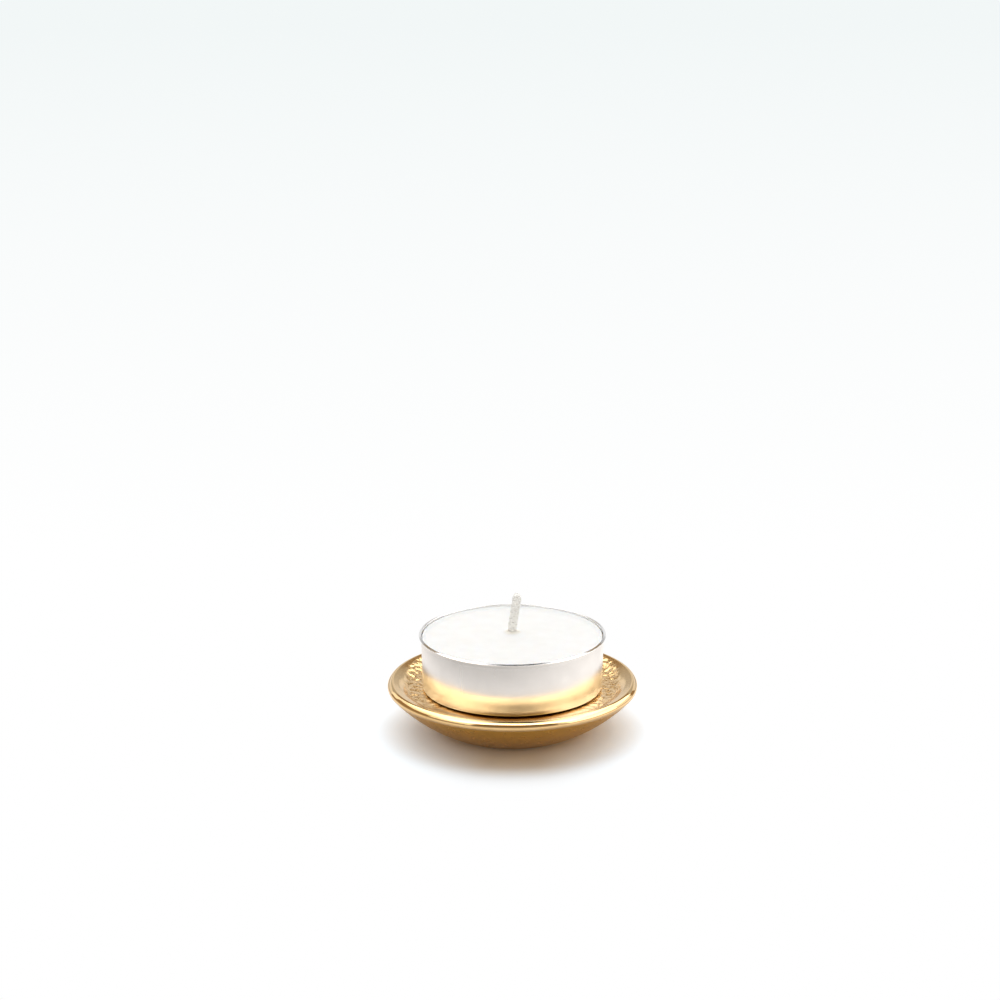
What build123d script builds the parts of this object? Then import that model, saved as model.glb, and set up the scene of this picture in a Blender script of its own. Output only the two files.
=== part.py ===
"""Small brass candle plate with a tealight standing in its dish, in millimetres, +Z up.

The origin is the middle of the plate's flat base. The plate is sized around the tealight's cup.
"""
from build123d import *
import os
from math import atan2, degrees, hypot, radians, sqrt, tan

# Tealight cup, drawn from thin aluminium sheet
cup_lip_diameter = 38.0
cup_height = 11.5
cup_sheet = 0.2
curl_diameter = 0.6
wall_draft = 0.2
corner_radius = 0.8
foot_ring_width = 3.4
panel_rise = 0.5
panel_step_angle = 45.0
panel_bend_radius = 0.4

# Plate, cast in brass
plate_overhang = 6.5
plate_height = 10.6
base_diameter = 24.0
base_edge_radius = 1.5
lip_outer_radius = 1.3
lip_inner_radius = 0.8
lip_wall_angle = 80.0
cove_radius = 0.4
dish_depth = 1.6

# Wax
wax_drop = 0.8
wax_edge_radius = 0.5
collar_width = 1.0
collar_height = 0.4
collar_crest = 0.3

# Wick and the metal sustainer that holds its foot
wick_diameter = 1.7
wick_offset = 3.5
wick_exposed = 8.0
wick_lean_angle = 9.0
wick_bend_radius = 8.0
wick_tip_radius = 0.3
sustainer_diameter = 15.0
sustainer_sheet = 0.25
neck_height = 3.0
neck_root_radius = 0.6

# Clearances
wax_wall_clearance = 0.2
wax_insert_clearance = 0.1
wick_neck_clearance = 0.05

# Heights that the pieces share
seat_height = plate_height - dish_depth
cup_floor_height = seat_height + panel_rise + cup_sheet
cup_top_height = seat_height + cup_height
wax_top_height = cup_top_height - wax_drop

# Radii that the pieces share
curl_radius = curl_diameter / 2
cup_wall_top_radius = cup_lip_diameter / 2 - curl_diameter + cup_sheet
cup_wall_bottom_radius = cup_wall_top_radius - wall_draft
wick_radius = wick_diameter / 2
neck_bore_radius = wick_radius + wick_neck_clearance
neck_radius = neck_bore_radius + sustainer_sheet


def cup_wall_radius(height):
    """Outer radius of the cup's tapered wall at a height above the plate's base."""
    return cup_wall_bottom_radius + wall_draft * (height - seat_height) / (cup_height - curl_radius)


# Plate: a flat dish inside a rounded lip. The underside is part of a sphere from the base's edge to the lip.
plate_radius = cup_lip_diameter / 2 + plate_overhang
base_radius = base_diameter / 2
crest_radius = plate_radius - lip_outer_radius
outer_arc_height = plate_height - lip_outer_radius
inner_arc_height = plate_height - lip_inner_radius

# The sphere's centre is on the axis, where a sphere through the base's edge touches the lip's outer arc.
# Its distance from the arc's centre is then the sphere's radius less the arc's: a quadratic in that height.
square_term = outer_arc_height**2 - lip_outer_radius**2
half_linear_term = (crest_radius**2 + outer_arc_height**2 - base_radius**2 - lip_outer_radius**2) / 2
constant_term = half_linear_term**2 - (lip_outer_radius * base_radius) ** 2
discriminant = (half_linear_term * outer_arc_height) ** 2 - square_term * constant_term
sphere_height = (half_linear_term * outer_arc_height + sqrt(discriminant)) / square_term
sphere_radius = hypot(base_radius, sphere_height)
base_angle = degrees(atan2(-sphere_height, base_radius))
lip_angle = degrees(atan2(outer_arc_height - sphere_height, crest_radius))

with BuildPart() as candle_plate:
    with BuildSketch(Plane.XZ):
        with BuildLine():
            underside = CenterArc((0, sphere_height), sphere_radius, base_angle, lip_angle - base_angle)
            CenterArc((crest_radius, outer_arc_height), lip_outer_radius, lip_angle, 90 - lip_angle)
            inside = CenterArc((crest_radius, inner_arc_height), lip_inner_radius, 90, lip_wall_angle)
            wall_run = ((inside @ 1).Y - seat_height) / tan(radians(lip_wall_angle))
            floor_edge = ((inside @ 1).X - wall_run, seat_height)
            floor = FilletPolyline(inside @ 1, floor_edge, (0, seat_height), radius=cove_radius)
            Polyline(floor @ 1, (0, 0), underside @ 0)
        make_face()
    revolve(axis=Axis.Z)
    fillet(candle_plate.edges().group_by(Axis.Z)[0], base_edge_radius)

# Cup: one sheet, bent up around a raised bottom panel and curled outwards at the lip
panel_radius = cup_wall_bottom_radius - foot_ring_width
step_run = panel_rise / tan(radians(panel_step_angle))
step_shift = cup_sheet * tan(radians(panel_step_angle) / 2)
curl_height = cup_top_height - curl_radius
inner_ring_height = seat_height + cup_sheet

with BuildPart() as tealight_cup:
    with BuildSketch(Plane.XZ):
        with BuildLine():
            outside = FilletPolyline(
                (0, seat_height + panel_rise),
                (panel_radius, seat_height + panel_rise),
                (panel_radius + step_run, seat_height),
                (cup_wall_bottom_radius, seat_height),
                (cup_wall_top_radius, curl_height),
                radius=[panel_bend_radius, panel_bend_radius + cup_sheet, corner_radius],
            )
            inside = FilletPolyline(
                (0, cup_floor_height),
                (panel_radius + step_shift, cup_floor_height),
                (panel_radius + step_run + step_shift, inner_ring_height),
                (cup_wall_radius(inner_ring_height) - cup_sheet, inner_ring_height),
                (cup_wall_top_radius - cup_sheet, curl_height),
                radius=[panel_bend_radius + cup_sheet, panel_bend_radius, corner_radius - cup_sheet],
            )
            Line(outside @ 0, inside @ 0)
            Line(outside @ 1, inside @ 1)
        make_face()
    with BuildSketch(Plane.XZ):
        with Locations((cup_lip_diameter / 2 - curl_radius, curl_height)):
            Circle(curl_radius)
    revolve(axis=Axis.Z)

# Sustainer: a flat disc with a drawn neck, standing on the cup's raised panel under the wick
wick_axis = Axis((0, wick_offset, 0), (0, 0, 1))
disc_top_height = cup_floor_height + sustainer_sheet
neck_top_height = disc_top_height + neck_height

with BuildPart() as wick_sustainer:
    with BuildSketch(Plane.XZ.offset(-wick_offset)) as sustainer_section:
        with BuildLine():
            Polyline(
                (neck_bore_radius, cup_floor_height),
                (sustainer_diameter / 2, cup_floor_height),
                (sustainer_diameter / 2, disc_top_height),
                (neck_radius, disc_top_height),
                (neck_radius, neck_top_height),
                (neck_bore_radius, neck_top_height),
                close=True,
            )
        make_face()
        neck_root = sustainer_section.vertices().sort_by_distance((neck_radius, disc_top_height))[0]
        fillet(neck_root, neck_root_radius)
    revolve(axis=wick_axis)

# Wick: upright through the wax, then leaning to +X above the wax's collar
collar_top_height = wax_top_height + collar_height
wick_bend_height = collar_top_height + wick_bend_radius * tan(radians(wick_lean_angle) / 2)
wick_top_height = wax_top_height + wick_exposed
wick_lean_run = (wick_top_height - wick_bend_height) * tan(radians(wick_lean_angle))

with BuildPart() as wick:
    with BuildLine(Plane.XZ.offset(-wick_offset)) as wick_path:
        FilletPolyline(
            (0, cup_floor_height),
            (0, wick_bend_height),
            (wick_lean_run, wick_top_height),
            radius=wick_bend_radius,
        )
    with BuildSketch(Plane((0, wick_offset, cup_floor_height))):
        Circle(wick_radius)
    sweep(path=wick_path.wires()[0])
    fillet(wick.faces().sort_by(Axis.Z)[-1].edges(), wick_tip_radius)

# Wax: follows the cup's wall, with a low collar at the wick and room below for the sustainer
wax_rim_radius = cup_wall_radius(wax_top_height) - cup_sheet - wax_wall_clearance
wax_foot_radius = cup_wall_radius(cup_floor_height) - cup_sheet - wax_wall_clearance
bore_radius = wick_radius + wax_insert_clearance
upright = (Align.CENTER, Align.CENTER, Align.MIN)

with BuildPart() as wax_fill:
    with BuildSketch(Plane.XZ):
        with BuildLine():
            Polyline(
                (0, wax_top_height),
                (wax_rim_radius, wax_top_height),
                (wax_foot_radius, cup_floor_height),
                (0, cup_floor_height),
                close=True,
            )
        make_face()
    revolve(axis=Axis.Z)
    fillet(wax_fill.edges().group_by(Axis.Z)[-1], wax_edge_radius)
    with Locations((0, wick_offset, wax_top_height)):
        Cone(
            bore_radius + collar_crest + collar_width,
            bore_radius + collar_crest,
            collar_height,
            align=upright,
        )
    with Locations((0, wick_offset, cup_floor_height)):
        Cylinder(
            sustainer_diameter / 2 + wax_insert_clearance,
            sustainer_sheet + wax_insert_clearance,
            align=upright,
            mode=Mode.SUBTRACT,
        )
        Cone(
            neck_radius + neck_root_radius + wax_insert_clearance,
            neck_radius + wax_insert_clearance,
            neck_top_height - cup_floor_height + wax_insert_clearance,
            align=upright,
            mode=Mode.SUBTRACT,
        )
        Cylinder(bore_radius, collar_top_height - cup_floor_height, align=upright, mode=Mode.SUBTRACT)

pieces = {
    "candle_plate": candle_plate,
    "tealight_cup": tealight_cup,
    "wax_fill": wax_fill,
    "wick": wick,
    "wick_sustainer": wick_sustainer,
}

os.makedirs("parts", exist_ok=True)
for node, piece in pieces.items():
    piece.part.label = node
    export_step(piece.part, f"parts/{node}.step")
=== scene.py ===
"""Dresses the candle plate and its tealight with finished meshes and materials, in a plain white studio.

Metres, +Z up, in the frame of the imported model. The camera stands on the -Y side.
"""
import math

import bpy
import numpy as np
from mathutils import Matrix, Vector, noise


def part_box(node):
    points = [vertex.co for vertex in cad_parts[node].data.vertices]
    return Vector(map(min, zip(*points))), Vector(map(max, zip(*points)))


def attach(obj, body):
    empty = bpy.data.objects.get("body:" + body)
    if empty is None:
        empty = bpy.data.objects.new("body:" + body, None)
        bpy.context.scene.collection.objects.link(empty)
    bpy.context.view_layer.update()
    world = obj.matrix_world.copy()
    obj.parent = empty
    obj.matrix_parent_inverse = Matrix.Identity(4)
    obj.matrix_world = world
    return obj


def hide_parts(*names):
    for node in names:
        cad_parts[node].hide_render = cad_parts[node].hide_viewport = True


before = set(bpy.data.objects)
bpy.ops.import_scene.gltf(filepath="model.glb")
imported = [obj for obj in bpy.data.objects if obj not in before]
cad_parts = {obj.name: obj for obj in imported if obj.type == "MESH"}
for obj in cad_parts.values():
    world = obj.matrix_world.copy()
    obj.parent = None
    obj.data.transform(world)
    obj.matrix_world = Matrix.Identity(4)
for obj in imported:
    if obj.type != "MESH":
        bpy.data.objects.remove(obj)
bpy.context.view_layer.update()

MM = 0.001

# Sizes read from the frame
_, plate_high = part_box("candle_plate")
cup_low, cup_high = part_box("tealight_cup")
wax_low, wax_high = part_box("wax_fill")
wick_low, wick_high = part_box("wick")
PLATE_RADIUS = plate_high.x
PLATE_HEIGHT = plate_high.z
SEAT = cup_low.z
CUP_RADIUS = cup_high.x
CUP_TOP = cup_high.z
WAX_RADIUS = wax_high.x
WAX_FOOT = wax_low.z
COLLAR_TOP = wax_high.z
WICK_RADIUS = (wick_high.y - wick_low.y) / 2
WICK_OFFSET = (wick_high.y + wick_low.y) / 2
WICK_FOOT = wick_low.z
WICK_TOP = wick_high.z

# Radius of the smallest ring about an axis, which a fan of faces closes
AXIS_GAP = 0.2 * MM

# Shifts of the noise patterns from one seed to the next
NOISE_SHIFT = (17.31, 7.77, 3.19)
CELL_SHIFT = (5.13, 9.71, 0.0)


# Sections and meshes
def arc(centre, radius, start, stop, count):
    """Points (r, z) on an arc, from start to stop in degrees."""
    turns = np.radians(np.linspace(start, stop, count))
    return np.c_[centre[0] + radius * np.cos(turns), centre[1] + radius * np.sin(turns)]


def line(start, stop, count):
    """Points (r, z) from start to stop, without start."""
    return np.linspace(start, stop, count + 1)[1:]


def corner(before, middle, after, count):
    """Points of a rounded corner, from before to after."""
    share = np.linspace(0, 1, count)[:, None]
    before, middle, after = (np.asarray(place) for place in (before, middle, after))
    return (1 - share) ** 2 * before + 2 * share * (1 - share) * middle + share**2 * after


def revolve(profile, segments, centres=None):
    """Rings of points about Z along a profile, and their outward normals: two arrays of (ring, segment, xyz).

    The profile runs outwards along the bottom, up and back in along the top.
    centres gives the middle of each ring along Y.
    """
    turns = np.linspace(0, 2 * np.pi, segments, endpoint=False)
    slope = np.gradient(profile, axis=0)
    normal = np.c_[slope[:, 1], -slope[:, 0]]
    normal /= np.maximum(np.linalg.norm(normal, axis=1, keepdims=True), 1e-12)
    around = np.stack([np.cos(turns), np.sin(turns)], axis=1)
    points = np.empty((len(profile), segments, 3))
    points[..., :2] = profile[:, None, :1] * around[None]
    points[..., 2] = profile[:, None, 1]
    if centres is not None:
        points[..., 1] += np.asarray(centres)[:, None]
    normals = np.empty_like(points)
    normals[..., :2] = normal[:, None, :1] * around[None]
    normals[..., 2] = normal[:, None, 1]
    return points, normals


def stitch(low, high):
    """Faces between two rings of vertex numbers. One ring may have twice as many as the other."""
    if len(low) == len(high):
        return np.stack([low, np.roll(low, -1), np.roll(high, -1), high], axis=1).tolist()
    if len(high) == 2 * len(low):
        here, odd, even = low, high[1::2], high[::2]
        first = np.stack([here, np.roll(here, -1), odd], axis=1)
        second = np.stack([here, odd, even], axis=1)
        third = np.stack([np.roll(here, -1), np.roll(even, -1), odd], axis=1)
        return first.tolist() + second.tolist() + third.tolist()
    return [face[::-1] for face in stitch(high, low)]


def new_piece(name, vertices, faces, material, flat=False):
    """An object in the scene with a mesh of one material, shaded smooth unless it is flat."""
    mesh = bpy.data.meshes.new(name)
    mesh.from_pydata(vertices, [], faces, shade_flat=flat)
    mesh.materials.append(material)
    piece = bpy.data.objects.new(name, mesh)
    bpy.context.scene.collection.objects.link(piece)
    return piece


def ring_mesh(name, rings, material, attributes=None, loop=False):
    """Closed mesh over rings of points, with values stored on the points.

    With loop, the last ring joins the first. Without it, both close at a point on the axis.
    """
    counts = [len(ring) for ring in rings]
    starts = np.concatenate([[0], np.cumsum(counts)])
    index = [np.arange(start, start + count) for start, count in zip(starts, counts)]
    vertices = np.vstack(list(rings))
    faces = []
    for low, high in zip(index[:-1], index[1:]):
        faces += stitch(low, high)
    if loop:
        faces += stitch(index[-1], index[0])
    else:
        for ring, numbers in ((rings[0], index[0][::-1]), (rings[-1], index[-1])):
            tip = len(vertices)
            vertices = np.vstack([vertices, ring.mean(axis=0)])
            faces += [(int(a), int(b), tip) for a, b in zip(numbers, np.roll(numbers, -1))]
    piece = new_piece(name, vertices.tolist(), faces, material)
    for label, values in (attributes or {}).items():
        layer = piece.data.attributes.new(label, "FLOAT", "POINT")
        known = np.concatenate([ring.ravel() for ring in values])
        spare = np.full(len(vertices) - len(known), known[-1])
        layer.data.foreach_set("value", np.r_[known, spare].astype(np.float32))
    return piece


# Fields over points
def smoothstep(low, high, values):
    """0 below low, 1 above high and a smooth rise between."""
    share = np.clip((values - low) / (high - low), 0, 1)
    return share * share * (3 - 2 * share)


def unevenness(points, feature, seed):
    """Smooth noise at each point, up and down. feature gives its size across and its height."""
    size, height = feature
    shift = Vector([seed * step for step in NOISE_SHIFT])
    flat = points.reshape(-1, 3) / size
    values = [noise.noise(Vector(p) + shift, noise_basis="PERLIN_NEW") for p in flat]
    return np.array(values).reshape(points.shape[:-1]) * height


def cell_field(points, size, seed):
    """Distance to the nearest of many scattered points, in units of the given size."""
    shift = Vector([seed * step for step in CELL_SHIFT])
    flat = points.reshape(-1, 3) / size
    values = [noise.voronoi(Vector((p[0], p[1], 0)) + shift)[0][0] for p in flat]
    return np.array(values).reshape(points.shape[:-1])


def turn_from_front(points):
    """Turn of each point about Z from the -Y direction, to either side, in radians."""
    return np.abs(np.arctan2(points[..., 0], -points[..., 1]))


# Shader nodes
def add(tree, kind, inputs=None, **settings):
    """Adds a node with its settings. inputs gives each input socket a value, or a socket to link from."""
    node = tree.nodes.new(kind)
    for key, value in settings.items():
        setattr(node, key, value)
    for key, value in (inputs or {}).items():
        if isinstance(value, bpy.types.NodeSocket):
            tree.links.new(value, node.inputs[key])
        else:
            node.inputs[key].default_value = value
    return node


def new_material(name):
    """An empty material: its node tree and its Principled shader."""
    material = bpy.data.materials.new(name)
    material.use_nodes = True
    tree = material.node_tree
    tree.nodes.clear()
    shader = tree.nodes.new("ShaderNodeBsdfPrincipled")
    output = tree.nodes.new("ShaderNodeOutputMaterial")
    tree.links.new(shader.outputs["BSDF"], output.inputs["Surface"])
    return material, tree, shader


def dress(tree, shader, colour, roughness, relief, constants):
    """Links colour, roughness and relief to a shader, and sets the inputs that are the same all over."""
    tree.links.new(colour, shader.inputs["Base Color"])
    tree.links.new(roughness, shader.inputs["Roughness"])
    tree.links.new(relief, shader.inputs["Normal"])
    for key, value in constants.items():
        shader.inputs[key].default_value = value


def object_place(tree, scale=(1, 1, 1)):
    """The point on the object, in metres, times scale."""
    place = add(tree, "ShaderNodeTexCoord")
    mapping = add(tree, "ShaderNodeMapping", {"Vector": place.outputs["Object"], "Scale": scale})
    return mapping.outputs["Vector"]


def noise_value(tree, place, per_metre, detail):
    """Noise from 0 to 1 with the given number of features per metre, and finer noise in it by detail."""
    node = add(tree, "ShaderNodeTexNoise", {"Vector": place, "Scale": per_metre, "Detail": detail})
    return node.outputs["Fac"]


def attribute(tree, name):
    """A value stored on the mesh."""
    return add(tree, "ShaderNodeAttribute", attribute_name=name).outputs["Fac"]


def spread(tree, value, low, high, start=0.3, stop=0.7):
    """Takes a value from the range start to stop onto the range low to high."""
    node = add(tree, "ShaderNodeMapRange",
               {"Value": value, "From Min": start, "From Max": stop, "To Min": low, "To Max": high})
    return node.outputs["Result"]


def maths(tree, operation, *values):
    """Result of an operation on one or two values."""
    return add(tree, "ShaderNodeMath", dict(enumerate(values)), operation=operation).outputs[0]


def times(tree, first, second):
    """Product of two values."""
    return maths(tree, "MULTIPLY", first, second)


def blend_values(tree, share, first, second):
    """The first value where share is 0 and the second where it is 1."""
    node = add(tree, "ShaderNodeMix", {0: share, 2: first, 3: second}, data_type="FLOAT")
    return node.outputs[0]


def blend_colours(tree, share, first, second):
    """The first colour where share is 0 and the second where it is 1."""
    node = add(tree, "ShaderNodeMix", {0: share, 6: first, 7: second}, data_type="RGBA")
    return node.outputs[2]


def bump(tree, height, depth, strength=1.0, below=None):
    """Normal of a fine relief of the given depth, laid over another one if there is one."""
    inputs = {"Height": height, "Distance": depth, "Strength": strength}
    if below is not None:
        inputs["Normal"] = below
    return add(tree, "ShaderNodeBump", inputs).outputs["Normal"]


# Brass
BRASS_LIGHT = (0.80, 0.56, 0.28, 1)
BRASS_DARK = (0.74, 0.50, 0.23, 1)
# Colour of the base and underside: painted shade, a darker and deeper brass than above
BRASS_PAINTED_SHADE_BELOW = (0.70, 0.40, 0.06, 1)
# Colour of the painted shade in the dish round the cup's foot, in front
BRASS_PAINTED_SHADE = (0.42, 0.22, 0.04, 1)
BRASS_SPECK = (0.62, 0.39, 0.16, 1)
SATIN_BRASS = (0.24, 0.28)
CAST_BRASS = (0.16, 0.34)
BRIGHT_BRASS = (0.06, 0.10)


def brass_material():
    """Cast brass: polished on the lip, satin below, rough from the mould in the dish, painted shade below and
    at the cup's foot.
    """
    material, tree, shader = new_material("brass")
    place = object_place(tree)
    polish_and_painted_shade = attribute(tree, "polish_and_painted_shade")
    dish = attribute(tree, "dish")
    patches = noise_value(tree, place, 180, 4)
    specks = noise_value(tree, place, 2600, 2)
    colour = blend_colours(tree, spread(tree, patches, 0, 1), BRASS_LIGHT, BRASS_DARK)
    # Painted shade: the unpolished base and underside take the darker, deeper brass
    colour = blend_colours(tree, spread(tree, polish_and_painted_shade, 0, 1, 0, 0.5), BRASS_PAINTED_SHADE_BELOW, colour)
    # Painted shade in the dish round the cup's foot, in front
    colour = blend_colours(tree, attribute(tree, "painted_shade"), colour, BRASS_PAINTED_SHADE)
    colour = blend_colours(tree, spread(tree, specks, 0, 0.35, 0.5, 0.8), colour, BRASS_SPECK)
    satin = spread(tree, noise_value(tree, place, 700, 3), *SATIN_BRASS)
    cast = spread(tree, noise_value(tree, place, 1400, 2), *CAST_BRASS)
    bright = spread(tree, noise_value(tree, place, 900, 3), *BRIGHT_BRASS)
    rough = blend_values(tree, polish_and_painted_shade, satin, bright)
    rough = blend_values(tree, dish, rough, cast)
    grain = noise_value(tree, place, 3800, 3)
    crinkle = noise_value(tree, place, 1900, 1)
    relief = bump(tree, crinkle, 0.03 * MM, times(tree, dish, 0.7))
    relief = bump(tree, grain, 0.002 * MM, 0.35, relief)
    dress(tree, shader, colour, rough, relief, {"Metallic": 1.0})
    return material


# Aluminium: how draw lines and broad streaks are stretched upright, and how far reflections spread sideways
ALUMINIUM_LIGHT = (0.79, 0.785, 0.78, 1)
ALUMINIUM_DARK = (0.74, 0.735, 0.73, 1)
DRAWN_ROUGHNESS = (0.27, 0.31)
BEAD_ROUGHNESS = 0.1
LINE_STRETCH = (1, 1, 0.012)
STREAK_STRETCH = (1, 1, 0.05)
SIDEWAYS_SPREAD = 0.78


def aluminium_material():
    """Bright drawn sheet with fine upright draw lines, which spread its reflections sideways."""
    material, tree, shader = new_material("aluminium")
    place = object_place(tree)
    lines = noise_value(tree, object_place(tree, LINE_STRETCH), 1500, 1)
    broad = noise_value(tree, object_place(tree, STREAK_STRETCH), 500, 2)
    clouds = noise_value(tree, place, 260, 3)
    colour = blend_colours(tree, spread(tree, clouds, 0, 1), ALUMINIUM_LIGHT, ALUMINIUM_DARK)
    drawn, streaked = (spread(tree, value, *DRAWN_ROUGHNESS) for value in (lines, broad))
    satin = blend_values(tree, 0.5, drawn, streaked)
    rough = blend_values(tree, attribute(tree, "bead"), satin, BEAD_ROUGHNESS)
    relief = bump(tree, lines, 0.0015 * MM, 0.14)
    relief = bump(tree, broad, 0.008 * MM, 0.3, relief)
    around = add(tree, "ShaderNodeTangent", direction_type="RADIAL", axis="Z")
    tree.links.new(around.outputs["Tangent"], shader.inputs["Tangent"])
    dress(tree, shader, colour, rough, relief, {"Anisotropic": SIDEWAYS_SPREAD, "Metallic": 1.0})
    return material


# Wax: a warmer, darker cream round the wick's foot, which fades between two distances from it
WAX_LIGHT = (0.945, 0.935, 0.91, 1)
WAX_DARK = (0.91, 0.895, 0.865, 1)
WAX_FOOT_TINT = (0.97, 0.86, 0.70, 1)
FOOT_TINT_SHARE = 0.8
FOOT_TINT_REACH = (1.1 * MM, 2.0 * MM)
WAX_ROUGHNESS = (0.36, 0.52)
WAX_SHADER = {
    "Specular IOR Level": 0.25,
    "Subsurface Weight": 0.5,
    "Subsurface Radius": (1.0, 0.85, 0.7),
    "Subsurface Scale": 1.5 * MM,
}


def wax_material():
    """White paraffin wax: light goes a little way in, and the surface is faintly mottled."""
    material, tree, shader = new_material("wax")
    place = object_place(tree)
    mottle = noise_value(tree, place, 320, 4)
    grain = noise_value(tree, place, 2200, 3)
    colour = blend_colours(tree, spread(tree, mottle, 0, 1), WAX_LIGHT, WAX_DARK)
    wick_foot = (0, WICK_OFFSET, COLLAR_TOP)
    from_wick = add(tree, "ShaderNodeVectorMath", {0: place, 1: wick_foot}, operation="DISTANCE")
    # Warmer, darker cream round the wick's foot
    foot_tint = spread(tree, from_wick.outputs["Value"], FOOT_TINT_SHARE, 0, *FOOT_TINT_REACH)
    colour = blend_colours(tree, foot_tint, colour, WAX_FOOT_TINT)
    relief = bump(tree, mottle, 0.04 * MM, 0.4)
    relief = bump(tree, grain, 0.01 * MM, 0.4, relief)
    dress(tree, shader, colour, spread(tree, grain, *WAX_ROUGHNESS), relief, WAX_SHADER)
    return material


# Cotton
COTTON_LIGHT = (0.985, 0.96, 0.905, 1)
COTTON_DARK = (0.97, 0.935, 0.87, 1)
COTTON_ROUGHNESS = (0.55, 0.8)
FIBRE_STRETCH = (1, 1, 0.3)


def cotton_material():
    """Cotton yarn, cream with wax in it."""
    material, tree, shader = new_material("cotton")
    place = object_place(tree)
    fibres = noise_value(tree, object_place(tree, FIBRE_STRETCH), 9000, 3)
    stains = noise_value(tree, place, 600, 3)
    colour = blend_colours(tree, spread(tree, stains, 0, 1), COTTON_LIGHT, COTTON_DARK)
    rough = spread(tree, fibres, *COTTON_ROUGHNESS)
    relief = bump(tree, fibres, 0.006 * MM, 0.6)
    dress(tree, shader, colour, rough, relief, {"Sheen Weight": 1.0, "Sheen Roughness": 0.5})
    return material


# Tinned steel
TIN_LIGHT = (0.70, 0.71, 0.72, 1)
TIN_DARK = (0.60, 0.61, 0.62, 1)
TIN_ROUGHNESS = (0.25, 0.42)
ROLLING_STRETCH = (0.05, 1, 1)


def tinned_steel_material():
    """Tin-plated sheet with fine rolling marks."""
    material, tree, shader = new_material("tinned_steel")
    marks = noise_value(tree, object_place(tree, ROLLING_STRETCH), 4200, 3)
    spangle = noise_value(tree, object_place(tree), 900, 2)
    colour = blend_colours(tree, spread(tree, spangle, 0, 1), TIN_LIGHT, TIN_DARK)
    rough = spread(tree, marks, *TIN_ROUGHNESS)
    relief = bump(tree, marks, 0.008 * MM, 0.5)
    dress(tree, shader, colour, rough, relief, {"Metallic": 1.0})
    return material


# Plate's lip: width outside the crest, radii of crest and shoulder, and slopes of the shoulder in degrees
LIP_OUTER = 1.02 * MM
LIP_CREST = 0.7 * MM
LIP_SHOULDER = 2.0 * MM
SHOULDER_ANGLES = (38.0, 56.0)

# Side of the dish: a shelf and a slope in degrees, the share of each in their bend, and the bend at the floor
SHELF_SLOPE = 16.0
SHELF_WIDTH = 1.3 * MM
DISH_SLOPE = 31.0
SHELF_BEND = 0.3
SLOPE_BEND = 0.15
FLOOR_BEND = 0.12 * MM

# Base, and the radii at which the rings of the dish's floor halve their points
BASE_RADIUS = 12.0 * MM
BASE_EDGE = 0.4 * MM
HALVING_RADII = (16.5 * MM, 8.0 * MM)
FINE_RING, MIDDLE_RING, COARSE_RING = 640, 320, 160


def touching_centre(centre, shift, angle):
    """Centre of an arc that touches another inside, at an angle. shift is that one's radius less its own."""
    return centre[0] + shift * math.cos(angle), centre[1] + shift * math.sin(angle)


def underside_centre(edge, edge_radius):
    """Height of the centre of a sphere through the base's edge that touches the arc round the lip's edge."""
    reach, height = edge
    square_term = height**2 - edge_radius**2
    half_linear = (reach**2 + height**2 - BASE_RADIUS**2 - edge_radius**2) / 2
    constant = half_linear**2 - (edge_radius * BASE_RADIUS) ** 2
    root = math.sqrt((half_linear * height) ** 2 - square_term * constant)
    return (half_linear * height + root) / square_term


def underside_and_lip():
    """Points (r, z) of the underside, from the base to the lip's edge, and of the lip, from there inwards."""
    crest = (PLATE_RADIUS - LIP_OUTER, PLATE_HEIGHT - LIP_CREST)
    upper, lower = (90 - angle for angle in SHOULDER_ANGLES)
    shoulder = touching_centre(crest, LIP_CREST - LIP_SHOULDER, math.radians(upper))
    turn = math.radians(lower)
    edge_radius = (PLATE_RADIUS - shoulder[0] - LIP_SHOULDER * math.cos(turn)) / (1 - math.cos(turn))
    edge = touching_centre(shoulder, LIP_SHOULDER - edge_radius, turn)
    centre = underside_centre(edge, edge_radius)
    sphere = math.hypot(BASE_RADIUS, centre)
    base_angle = math.degrees(math.atan2(-centre, BASE_RADIUS) + BASE_EDGE / sphere)
    lip_angle = math.degrees(math.atan2(edge[1] - centre, edge[0]))
    underside = arc((0, centre), sphere, base_angle, lip_angle, 46)[:-1]
    lip = np.vstack([
        arc(edge, edge_radius, lip_angle, lower, 14),
        arc(shoulder, LIP_SHOULDER, lower, upper, 10)[1:],
        arc(crest, LIP_CREST, upper, 90 + SHELF_SLOPE, 18)[1:],
    ])
    return underside, lip


def dish_side(start):
    """Points (r, z) of the dish's side, from the end of the lip over the shelf and the slope to the floor."""
    shelf_fall = SHELF_WIDTH * math.tan(math.radians(SHELF_SLOPE))
    shelf_end = start - (SHELF_WIDTH, shelf_fall)
    slope_run = (shelf_end[1] - SEAT) / math.tan(math.radians(DISH_SLOPE))
    foot = np.array([shelf_end[0] - slope_run, SEAT])
    before = shelf_end + (start - shelf_end) * SHELF_BEND
    after = shelf_end + (foot - shelf_end) * SLOPE_BEND
    climb = (shelf_end - foot) / np.linalg.norm(shelf_end - foot)
    bend = corner(foot + FLOOR_BEND * climb, foot, foot - (FLOOR_BEND, 0), 9)
    return np.vstack([
        line(start, before, 8)[:-1],
        corner(before, shelf_end, after, 9),
        line(after, bend[0], 16)[:-1],
        bend,
    ])


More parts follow.
